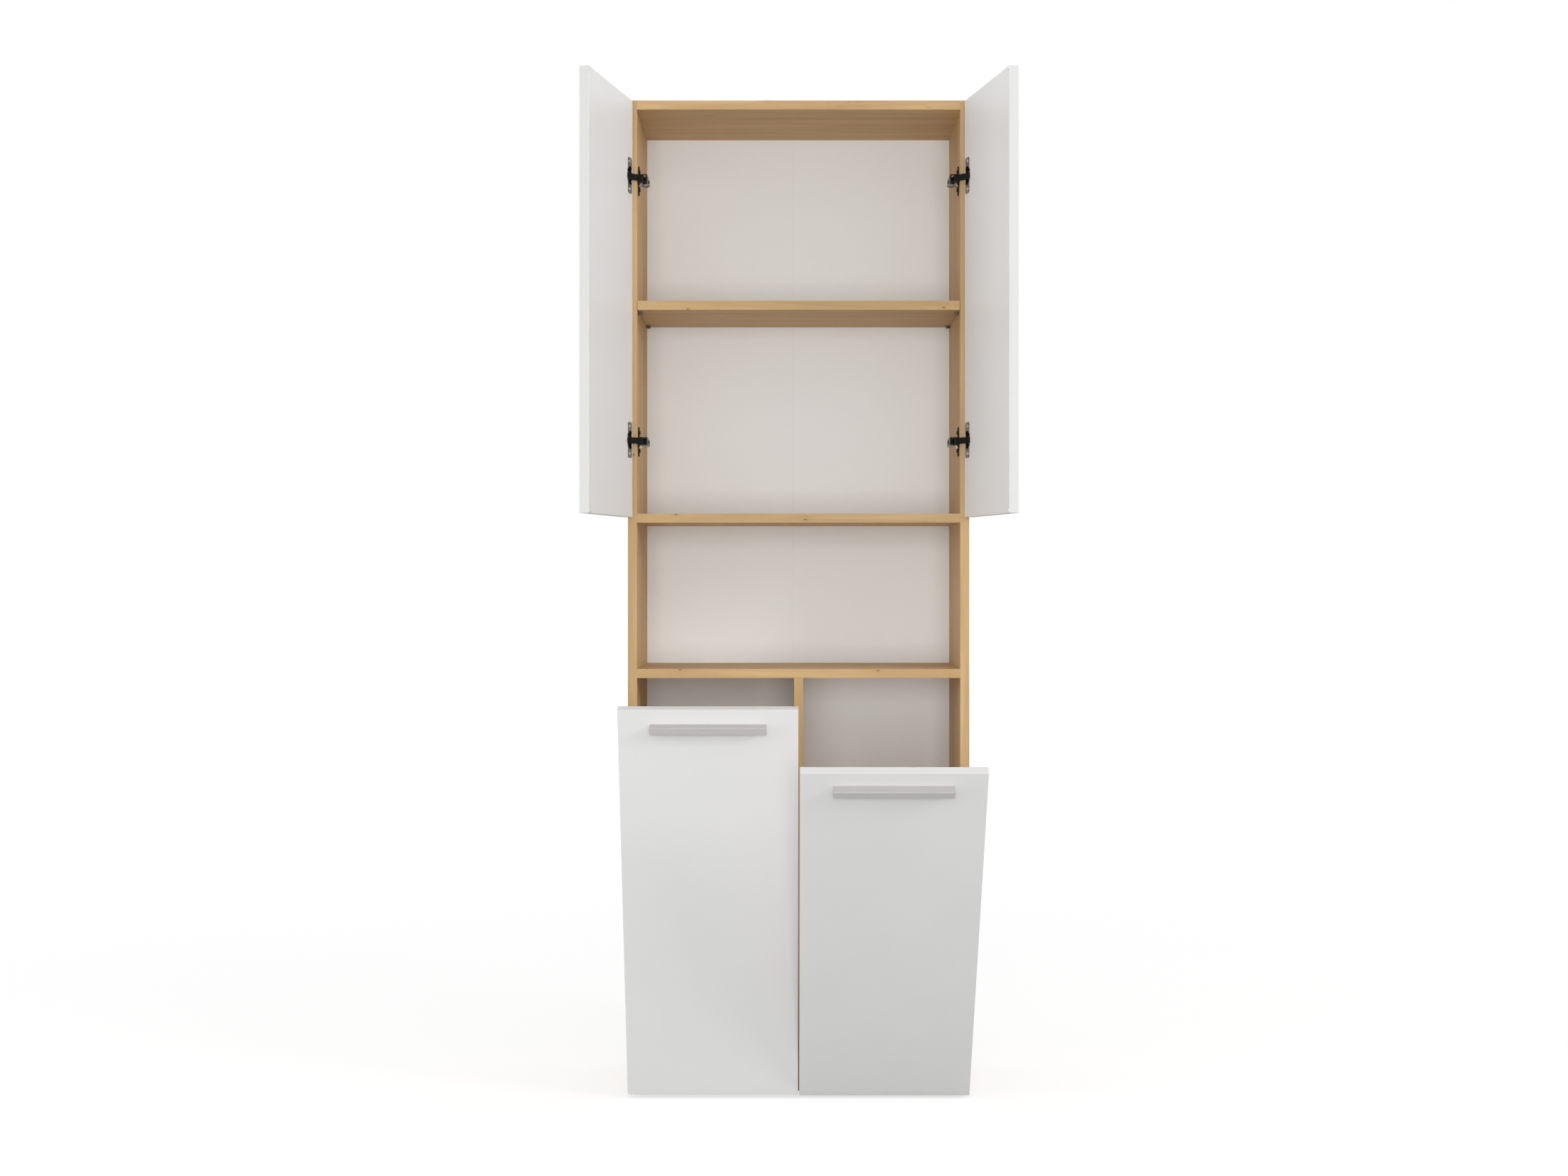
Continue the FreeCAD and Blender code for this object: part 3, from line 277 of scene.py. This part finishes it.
def melamine(name, outward, inner_end, outer_end):
    """Satin white board: painted shade on the edges, painted light on the inner face, slow mottling, fine
    grain and an orange-peel relief.
    """
    white = Finish(name)
    dot = white.node("ShaderNodeVectorMath", [white.place, outward], operation="DOT_PRODUCT")
    along = dot.outputs["Value"]
    # Masks for the outer and inner faces: the edges between them get the painted shade, the inner face the
    # painted light.
    outside = white.math("GREATER_THAN", along, outer_end - FACE_SKIN)
    painted_light_inside = white.math("LESS_THAN", along, inner_end + FACE_SKIN)
    colour = white.mix(painted_light_inside, white.mix(outside, EDGE_WHITE_PAINTED_SHADE, FRONT_WHITE), INNER_WHITE_PAINTED_LIGHT)
    mottle = white.noise(white.place, 7.0, 3.0)
    grain = white.noise(white.place, 900.0, 2.0)
    dulled = white.mix(1.0, colour, shade(DULL_SHARE, DULL_SHARE, DULL_SHARE), "MULTIPLY")
    tone = white.mix(white.ramp(mottle, 0.35, 0.75), colour, dulled)
    speckle = white.mix(white.ramp(grain, 0.3, 0.7, 0.10, 0.0), tone, dulled)
    white.set(Base_Color=speckle, Roughness=white.ramp(mottle, 0.3, 0.7, 0.40, 0.50), IOR=1.46)
    white.relief(white.noise(white.place, 420.0, 2.0), 0.00006, 0.35)
    return white


for front, outward in OUTWARD.items():
    inner_end, outer_end = reach(front, outward)
    print("%s is %.1f mm thick" % (front, 1000 * (outer_end - inner_end)))
    dress(melamine("white_" + front, outward, inner_end, outer_end), front)

# %% [markdown]
# ## Back panels
# The back is thin hardboard, painted white inside and left raw brown behind. Each sheet is a single piece,
# so one material with a mask on Y covers both of its faces, and a faint line marks where the sheets meet.

# %% Hardboard
BACK_MIDDLE_Y = 0.1490
BACK_JOINT_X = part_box("left_back_panel")[1].x
PAINT_LIGHT = shade(0.910, 0.948, 0.975)
PAINT_DULL = shade(0.900, 0.936, 0.961)
FIBRE_DARK = shade(0.400, 0.262, 0.150)
FIBRE_LIGHT = shade(0.530, 0.372, 0.228)
JOINT_DARK = shade(0.10, 0.09, 0.08)


def hardboard(name):
    """White paint on the room side and raw fibres behind, and a faint shadow line where the sheets meet."""
    sheet = Finish(name)
    axes = sheet.axes()
    behind = sheet.math("GREATER_THAN", axes[1], BACK_MIDDLE_Y)
    off_joint = sheet.math("ABSOLUTE", sheet.math("SUBTRACT", axes[0], BACK_JOINT_X))
    joint = sheet.ramp(off_joint, 0.0003, 0.0014, sheet.ramp(behind, 0.0, 1.0, 0.045, 0.5), 0.0)
    wash = sheet.noise(sheet.place, 5.0, 3.0)
    fibre = sheet.noise(sheet.place, 650.0, 4.0, 0.7, 1.5)
    paint = sheet.mix(sheet.ramp(wash, 0.3, 0.7), PAINT_LIGHT, PAINT_DULL)
    raw = sheet.mix(sheet.ramp(fibre, 0.35, 0.65), FIBRE_DARK, FIBRE_LIGHT)
    colour = sheet.mix(joint, sheet.mix(behind, paint, raw), JOINT_DARK)
    sheet.set(Base_Color=colour, Roughness=sheet.ramp(behind, 0.0, 1.0, 0.52, 0.85))
    sheet.relief(fibre, 0.00008, 0.3)
    return sheet


white_back = hardboard("white_back")
dress(white_back, *in_slot("back_board"))

# %% [markdown]
# ## Hinge metal, screws and stays
# The hinges are lacquered black at the front and plain dark steel further in, so the arms get a finish
# with a mask on Y. The cups are dark nickel, the stays and brackets zinc with its patchy crystals, and the
# screws in the fronts plain bright steel. Most of the look of a metal is what it reflects, broken up by
# fine scratches in the roughness, while the black lacquer is kept dull so that the white room doesn't
# grey it.

# %% Black lacquer, nickel, zinc and steel
HAIRLINES = (1.0, 0.08, 1.0)
DULL_SPECULAR = 0.14
LACQUER_END_Y = -0.1270
LACQUER_BLACK = shade(0.0055, 0.0055, 0.0055)
LACQUER_DUST = shade(0.016, 0.015, 0.014)
ARM_LIGHT = shade(0.300, 0.275, 0.255)
ARM_DARK = shade(0.235, 0.215, 0.200)


def lacquer_colour(finish):
    """Satin black with dusty patches."""
    dust = finish.noise(finish.place, 160.0, 3.0, 0.6)
    return finish.mix(finish.ramp(dust, 0.4, 0.75), LACQUER_BLACK, LACQUER_DUST)


def black_lacquer(name):
    """Satin black over metal, with a fine grain in the roughness and the relief."""
    black = Finish(name)
    grain = black.noise(black.place, 2600.0, 2.0)
    black.set(Base_Color=lacquer_colour(black), Roughness=black.ramp(grain, 0.3, 0.7, 0.42, 0.58))
    black.set(Specular_IOR_Level=DULL_SPECULAR)
    black.relief(grain, 0.00004, 0.4)
    return black


def capped_arm(name, end_y):
    """Black lacquer as far in as a plane, and dark steel with fine scratches behind it."""
    arm = Finish(name)
    scratch = arm.noise(arm.stretched(HAIRLINES), 2200.0, 3.0)
    steel = arm.mix(arm.ramp(scratch, 0.3, 0.7), ARM_LIGHT, ARM_DARK)
    bare = arm.math("GREATER_THAN", arm.axes()[1], end_y)
    arm.set(Base_Color=arm.mix(bare, lacquer_colour(arm), steel),
            Roughness=arm.ramp(scratch, 0.3, 0.7, 0.40, 0.55),
            Metallic=arm.ramp(bare, 0.0, 1.0, 0.0, 0.85), Specular_IOR_Level=DULL_SPECULAR)
    arm.relief(scratch, 0.00003, 0.3)
    return arm


def plated(name, bright, dull, patch, rough):
    """Plated steel: patches a few millimetres across, hairline scratches and a low roughness."""
    metal = Finish(name)
    cell_colour = metal.cells(metal.place, patch)[1]
    crystal = metal.node("ShaderNodeSeparateColor", [cell_colour]).outputs[0]
    scratch = metal.noise(metal.stretched(HAIRLINES), 2200.0, 3.0)
    metal.set(Base_Color=metal.mix(crystal, bright, dull), Metallic=1.0,
              Roughness=metal.ramp(scratch, 0.3, 0.7, rough, rough + 0.16))
    metal.relief(scratch, 0.00003, 0.3)
    return metal


black_hinge = black_lacquer("black_hinge")
dark_arm = capped_arm("dark_arm", LACQUER_END_Y)
nickel_cup = plated("nickel_cup", shade(0.200, 0.190, 0.178), shade(0.140, 0.134, 0.126), 300.0, 0.26)
dull_steel = plated("dull_steel", shade(0.190, 0.182, 0.172), shade(0.140, 0.134, 0.128), 500.0, 0.36)
zinc_plate = plated("zinc_plate", shade(0.62, 0.63, 0.64), shade(0.50, 0.51, 0.53), 240.0, 0.30)
bright_steel = plated("bright_steel", shade(0.60, 0.60, 0.59), shade(0.52, 0.52, 0.52), 700.0, 0.26)
dress(black_hinge, *in_slot("black_hinge"))
dress(dark_arm, "hinge_arms")
dress(nickel_cup, *in_slot("hinge_cup_steel"))
dress(zinc_plate, *in_slot("zinc_steel"))
dress(bright_steel, *in_slot("screw_steel"))
dress(dull_steel, "hinge_release_tabs")

# %% [markdown]
# ## Bar handles
# Each flap has a light grey bar, matt like bead-blasted and anodised metal. A mirror-like metal would show
# the room instead, so noise drawn out along X gives the faint lines of the extrusion, and a second, even
# noise the blasted skin.

# %% Handles
HANDLE_LIGHT = shade(0.514, 0.496, 0.493)
HANDLE_DARK = shade(0.473, 0.454, 0.454)
ALONG_BAR = (0.02, 1.0, 1.0)


def blasted_bar(name):
    """Matt grey metal: extrusion lines along X, blasted grain, slightly uneven tone."""
    bar = Finish(name)
    lines = bar.noise(bar.stretched(ALONG_BAR), 1500.0, 2.0)
    grain = bar.noise(bar.place, 1900.0, 2.0)
    tone = bar.mix(bar.ramp(lines, 0.3, 0.7), HANDLE_LIGHT, HANDLE_DARK)
    bar.set(Base_Color=tone, Metallic=0.15, Roughness=bar.ramp(grain, 0.3, 0.7, 0.42, 0.54))
    bar.relief(grain, 0.00003, 0.35)
    return bar


grey_handle = blasted_bar("grey_handle")
dress(grey_handle, *in_slot("grey_handle"))

# %% [markdown]
# ## Small plastics and dowels
# The shelf pins are black, the glides grey, the buffers milky silicone. Moulded plastic shows a fine
# spark-eroded grain and slight sink marks, so one recipe with different colours serves all three. The
# dowels are bare beech with short flecks, seen only when the carcase is taken apart.

# %% Plastics and beech
BEECH_LIGHT = shade(0.62, 0.43, 0.25)
BEECH_FLECK = shade(0.42, 0.26, 0.13)
ALONG_DOWEL = (0.2, 1.0, 1.0)


def moulded(name, colour, rough, clear):
    """Moulded plastic: sink marks in the tone, spark-eroded grain in the roughness and relief."""
    plastic = Finish(name)
    sink = plastic.noise(plastic.place, 120.0, 2.0)
    grain = plastic.noise(plastic.place, 3000.0, 2.0)
    paler = shade(*(min(1.0, value * 1.25 + 0.006) for value in colour[:3]))
    plastic.set(Base_Color=plastic.mix(plastic.ramp(sink, 0.35, 0.7), colour, paler),
                Roughness=plastic.ramp(grain, 0.3, 0.7, rough, rough + 0.12), Transmission_Weight=clear)
    plastic.relief(grain, 0.00003, 0.3)
    return plastic


def bare_beech(name):
    """Pale beech with short dark flecks along X."""
    beech = Finish(name)
    fleck = beech.ramp(beech.noise(beech.stretched(ALONG_DOWEL), 900.0, 2.0), 0.55, 0.7)
    beech.set(Base_Color=beech.mix(fleck, BEECH_LIGHT, BEECH_FLECK),
              Roughness=beech.ramp(fleck, 0.0, 1.0, 0.6, 0.75))
    beech.relief(fleck, 0.00005, 0.3)
    return beech


black_pin = moulded("black_pin", shade(0.022, 0.017, 0.014), 0.34, 0.0)
grey_glide = moulded("grey_glide", shade(0.25, 0.24, 0.23), 0.45, 0.0)
clear_buffer = moulded("clear_buffer", shade(0.78, 0.78, 0.77), 0.22, 0.10)
beech_dowel = bare_beech("beech_dowel")
dress(black_pin, *in_slot("black_pin"))
dress(grey_glide, *in_slot("glide_plastic"))
dress(clear_buffer, *in_slot("clear_buffer"))
dress(beech_dowel, *in_slot("beech_dowel"))

# %% [markdown]
# ## Cover caps
# A small crowned cap hides each cam lock. A cylinder primitive would have hard edges, so the cap is a surface
# of revolution: a profile of radius and height, carried round a circle for all the caps at once.

# %% Cover caps over the cams
CAP_RADIUS = 0.0086
CAP_HEIGHT = 0.0012
CAM_X = 0.250
CAM_Y = (-0.058, 0.087)
CAP_TURNS = 32
CAP_RINGS = 10
CAP_POLE = 0.02


def mesh_piece(name, points, faces, finish, body):
    """A mesh object from arrays, smooth, with its finish, riding on a body of the cabinet."""
    mesh = bpy.data.meshes.new(name)
    mesh.from_pydata(points.tolist(), [], faces)
    mesh.polygons.foreach_set("use_smooth", np.ones(len(faces), dtype=bool))
    mesh.materials.append(finish.material)
    piece = bpy.data.objects.new(name, mesh)
    bpy.context.scene.collection.objects.link(piece)
    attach(piece, body)
    return piece


def turned_faces(turns, rings):
    """Quads of a surface of revolution, each joining a ring's point to the next round and the next out."""
    turn, ring = np.meshgrid(np.arange(turns), np.arange(rings - 1), indexing="ij")
    after = (turn + 1) % turns
    corners = (turn * rings + ring, turn * rings + ring + 1, after * rings + ring + 1, after * rings + ring)
    return np.stack(corners, axis=-1).reshape(-1, 4)


def cover_caps(centres, ups):
    """Crowned discs, closed by a lid at each pole.

    The height is H times the square root of one less the fourth power of radius over R.
    """
    share = np.sin(np.linspace(CAP_POLE, 0.5, CAP_RINGS) * math.pi)
    profile_r = CAP_RADIUS * np.append(share, CAP_POLE)
    profile_h = CAP_HEIGHT * np.append(np.sqrt(1 - share ** 4), 0.0)
    angle = np.linspace(0, 2 * math.pi, CAP_TURNS, endpoint=False)
    x = np.outer(np.cos(angle), profile_r)
    y = np.outer(np.sin(angle), profile_r)
    h = np.broadcast_to(profile_h, x.shape)
    points = [np.stack([cx + up * x, cy + y, cz + up * h], axis=-1).reshape(-1, 3)
              for (cx, cy, cz), up in zip(centres, ups)]
    rings = len(profile_r)
    first = np.arange(CAP_TURNS) * rings
    lids = np.stack([first, first[::-1] + rings - 1])
    starts = np.arange(len(points))[:, None, None] * len(points[0])
    quads = (starts + turned_faces(CAP_TURNS, rings)).reshape(-1, 4)
    return np.concatenate(points), quads.tolist() + (starts + lids).reshape(-1, CAP_TURNS).tolist()


cap_levels = [(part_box("top_board")[1].z, 1), (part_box("door_shelf")[1].z, 1),
              (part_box("niche_floor")[0].z, -1), (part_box("bottom_board")[0].z, -1)]
cap_centres = [(side * CAM_X, y, level) for level, up in cap_levels for side in (-1, 1) for y in CAM_Y]
cap_ups = [up for level, up in cap_levels for side in (-1, 1) for y in CAM_Y]
cap_points, cap_faces = cover_caps(cap_centres, cap_ups)
cap_plastic = moulded("cap_plastic", shade(0.52, 0.345, 0.170), 0.42, 0.0)
mesh_piece("cover_caps", cap_points, cap_faces, cap_plastic, "carcase")
print("cover caps:", len(cap_centres), "faces:", len(cap_faces))

# %% [markdown]
# ## Floor, light and background
# The cabinet stands in a white studio. One lamp from above would leave the compartments dark, so a wide soft
# lamp stands behind the camera at its height and shines straight in to the back panels, and one at each
# side lights the inner faces of the doors. The right one is the stronger and throws a faint shadow to the
# left. Camera, mirror and glass rays see the world and the open floor as plain white, while the light on
# the cabinet stays at a plain level.

# %% Studio
FLOOR_HALF = 30.0
FLOOR_COLOUR = 0.386
FLOOR_LIFT = 0.69
FLOOR_FADE = (1.0, 3.0)
FILL_LIGHT = 0.70
FRONT_POWER = 92.0
RIGHT_POWER = 39.0
LEFT_POWER = 27.0
FRONT_SIZE = 1.8
RIGHT_SIZE = 1.0
LEFT_SIZE = 1.6
FRONT_LAMP = Vector((0.0, -5.4, 0.95))
RIGHT_LAMP = Vector((3.2, -2.6, 2.1))
LEFT_LAMP = Vector((-3.73, -1.66, 0.95))
LAMP_TARGET = Vector((0.0, 0.0, 0.9))


def seen_directly(tree):
    """One for rays from the camera, a mirror or glass, nought for rays that light the scene."""
    path = tree.nodes.new("ShaderNodeLightPath")
    total = path.outputs["Is Camera Ray"]
    for name in ("Is Glossy Ray", "Is Transmission Ray"):
        larger = tree.nodes.new("ShaderNodeMath")
        larger.operation = "MAXIMUM"
        tree.links.new(total, larger.inputs[0])
        tree.links.new(path.outputs[name], larger.inputs[1])
        total = larger.outputs[0]
    return total


def studio_floor():
    """A wide pale plane: diffuse near the cabinet, plain white far off for what sees it directly."""
    corners = np.array([[-1, -1, 0], [1, -1, 0], [1, 1, 0], [-1, 1, 0]]) * FLOOR_HALF
    mesh = bpy.data.meshes.new("studio_floor")
    mesh.from_pydata(corners.tolist(), [], [[0, 1, 2, 3]])
    floor = bpy.data.objects.new("studio_floor", mesh)
    bpy.context.scene.collection.objects.link(floor)
    paper = Finish("studio_paper")
    mesh.materials.append(paper.material)
    tree = paper.tree
    seen = seen_directly(tree)
    radius = paper.node("ShaderNodeVectorMath", [paper.place], operation="LENGTH").outputs["Value"]
    far = paper.math("MULTIPLY", paper.ramp(radius, *FLOOR_FADE), seen)
    diffuse = paper.node("ShaderNodeBsdfDiffuse", [shade(FLOOR_COLOUR, FLOOR_COLOUR, FLOOR_COLOUR)])
    lift = paper.node("ShaderNodeEmission", [shade(1, 1, 1), paper.math("MULTIPLY", seen, FLOOR_LIFT)])
    near = paper.node("ShaderNodeAddShader", [diffuse.outputs[0], lift.outputs[0]])
    white = paper.node("ShaderNodeEmission", [shade(1, 1, 1), 1.0])
    both = paper.node("ShaderNodeMixShader", [far, near.outputs[0], white.outputs[0]])
    tree.links.new(both.outputs[0], tree.nodes["Material Output"].inputs["Surface"])
    return floor


def studio_world():
    """An even white world, at fill strength for lighting and at one where it is seen."""
    world = bpy.data.worlds.new("studio_world")
    world.use_nodes = True
    tree = world.node_tree
    strength = tree.nodes.new("ShaderNodeMapRange")
    tree.links.new(seen_directly(tree), strength.inputs["Value"])
    strength.inputs["To Min"].default_value = FILL_LIGHT
    strength.inputs["To Max"].default_value = 1.0
    back = tree.nodes["Background"]
    back.inputs["Color"].default_value = shade(1, 1, 1)
    tree.links.new(strength.outputs[0], back.inputs["Strength"])
    return world


def soft_lamp(name, place, size, power):
    """A square area lamp that looks at the middle of the cabinet."""
    lamp = bpy.data.objects.new(name, bpy.data.lights.new(name, "AREA"))
    lamp.data.size = size
    lamp.data.energy = power
    lamp.location = place
    lamp.rotation_euler = (LAMP_TARGET - place).to_track_quat("-Z", "Y").to_euler()
    bpy.context.scene.collection.objects.link(lamp)
    print("%s: %.0f W, %.1f m wide" % (name, power, size))


studio_floor()
bpy.context.scene.world = studio_world()
soft_lamp("front_lamp", FRONT_LAMP, FRONT_SIZE, FRONT_POWER)
soft_lamp("right_lamp", RIGHT_LAMP, RIGHT_SIZE, RIGHT_POWER)
soft_lamp("left_lamp", LEFT_LAMP, LEFT_SIZE, LEFT_POWER)
bpy.context.scene.view_settings.view_transform = "Standard"

# %% [markdown]
# ## Camera
# The corners of the boards in the photograph fix the camera: level, a little over four metres in front, at
# about half the cabinet's height. A camera could also be placed by eye, but its lens and its small shift
# come from the same fit, so the render can be laid over the photograph.

# %% Camera
FOCAL_PIXELS = 3369.7
IMAGE_WIDTH = 2212
IMAGE_HEIGHT = 1659
AXIS_PIXEL = (1118.1, 810.9)
CAMERA_PLACE = (-0.01055, -4.3471, 0.9165)
SENSOR_WIDTH = 36.0

camera = bpy.data.objects.new("camera", bpy.data.cameras.new("camera"))
bpy.context.scene.collection.objects.link(camera)
camera.location = CAMERA_PLACE
camera.rotation_euler = (math.pi / 2, 0.0, 0.0)
camera.data.sensor_width = SENSOR_WIDTH
camera.data.lens = FOCAL_PIXELS * SENSOR_WIDTH / IMAGE_WIDTH
camera.data.shift_x = (IMAGE_WIDTH / 2 - AXIS_PIXEL[0]) / IMAGE_WIDTH
camera.data.shift_y = (AXIS_PIXEL[1] - IMAGE_HEIGHT / 2) / IMAGE_WIDTH
bpy.context.scene.camera = camera
print("lens %.2f mm, shift %.4f %.4f" % (camera.data.lens, camera.data.shift_x, camera.data.shift_y))
